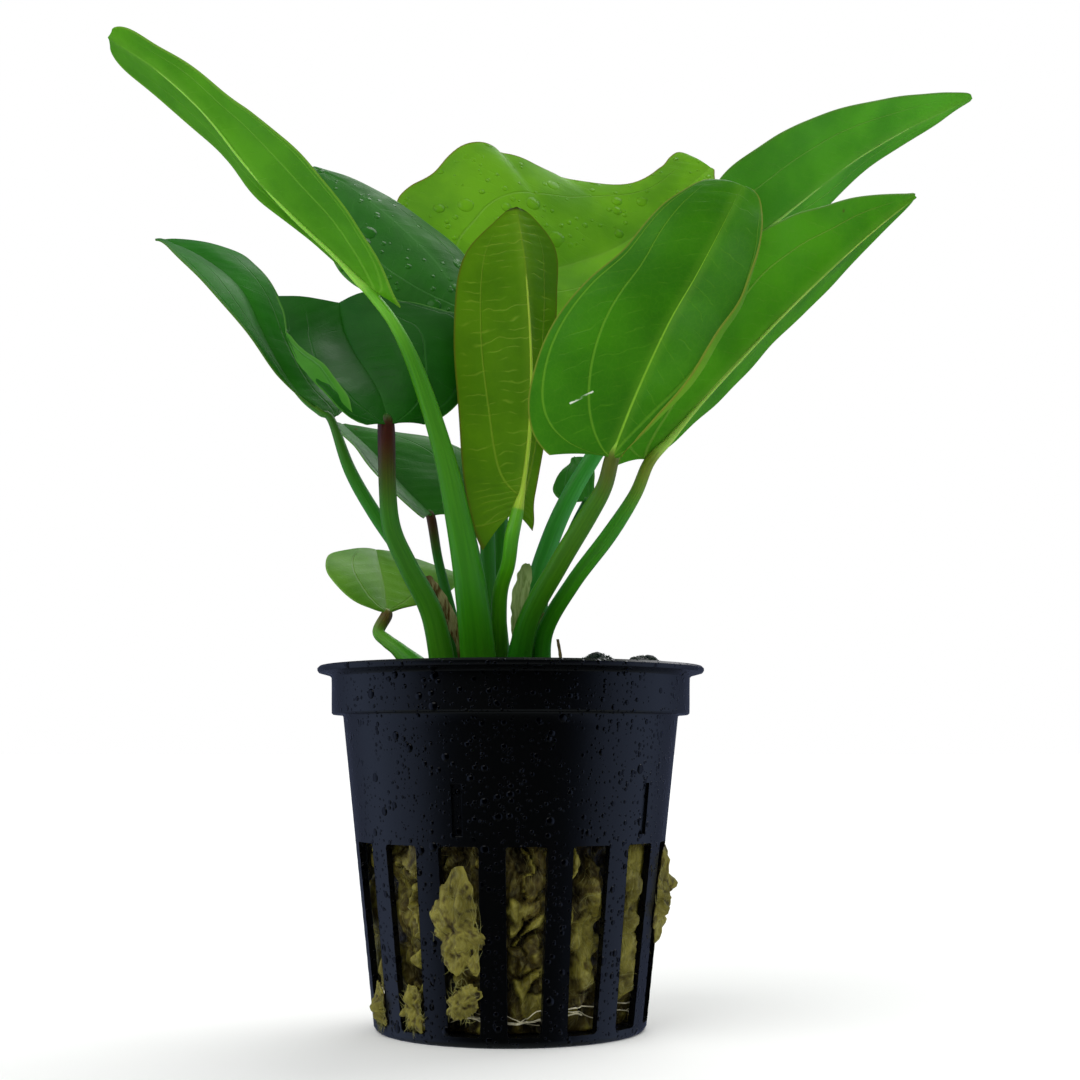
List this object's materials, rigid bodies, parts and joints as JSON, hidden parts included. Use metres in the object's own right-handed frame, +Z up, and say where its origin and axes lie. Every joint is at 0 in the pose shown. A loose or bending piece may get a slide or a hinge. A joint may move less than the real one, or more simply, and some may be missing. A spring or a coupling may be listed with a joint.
{
  "type": "potted echinodorus",
  "caption": "Aquarium sword plant: stalked oval leaves rise in a rosette from rock wool in a small black slotted net pot.",
  "frame": {"origin": "centre of the pot's flat base, on the surface it stands on", "axes": "+Z up the pot's axis towards the leaves, -Y towards the side that faces the camera, +X to the camera's right"},
  "size_m": [0.1301, 0.0644, 0.1445],
  "materials": {
    "pot_plastic": "moulded black polypropylene, satin and wet",
    "rock_wool": "matted mineral fibre, algae stained and wet",
    "crown": "rough fibrous rootstock",
    "leaf_stalk": "smooth waxy plant stem",
    "leaf_blade": "smooth waxy leaf with fine veins",
    "dry_sheath": "papery dried leaf base",
    "moss": "dark wet moss",
    "dry_sprout": "thin dry stem"
  },
  "bodies": {
    "root": {"net_pot": "pot_plastic", "rock_wool": "rock_wool", "crown": "crown", "blade_upper_left": "leaf_blade", "blade_left": "leaf_blade", "blade_left_centre": "leaf_blade", "blade_left_back": "leaf_blade", "blade_front": "leaf_blade", "blade_back_left": "leaf_blade", "blade_back": "leaf_blade", "blade_right_front": "leaf_blade", "blade_right": "leaf_blade", "blade_upper_right": "leaf_blade", "blade_small_back": "leaf_blade", "blade_small_left": "leaf_blade", "stalk_upper_left": "leaf_stalk", "stalk_left": "leaf_stalk", "stalk_left_centre": "leaf_stalk", "stalk_left_back": "leaf_stalk", "stalk_front": "leaf_stalk", "stalk_back_left": "leaf_stalk", "stalk_back": "leaf_stalk", "stalk_right_front": "leaf_stalk", "stalk_right": "leaf_stalk", "stalk_upper_right": "leaf_stalk", "stalk_small_back": "leaf_stalk", "stalk_small_left": "leaf_stalk", "sheath_left": "dry_sheath", "sheath_middle": "dry_sheath", "sheath_right": "dry_sheath", "moss_left": "moss", "moss_right": "moss", "dry_sprout": "dry_sprout"}
  },
  "joints": []
}
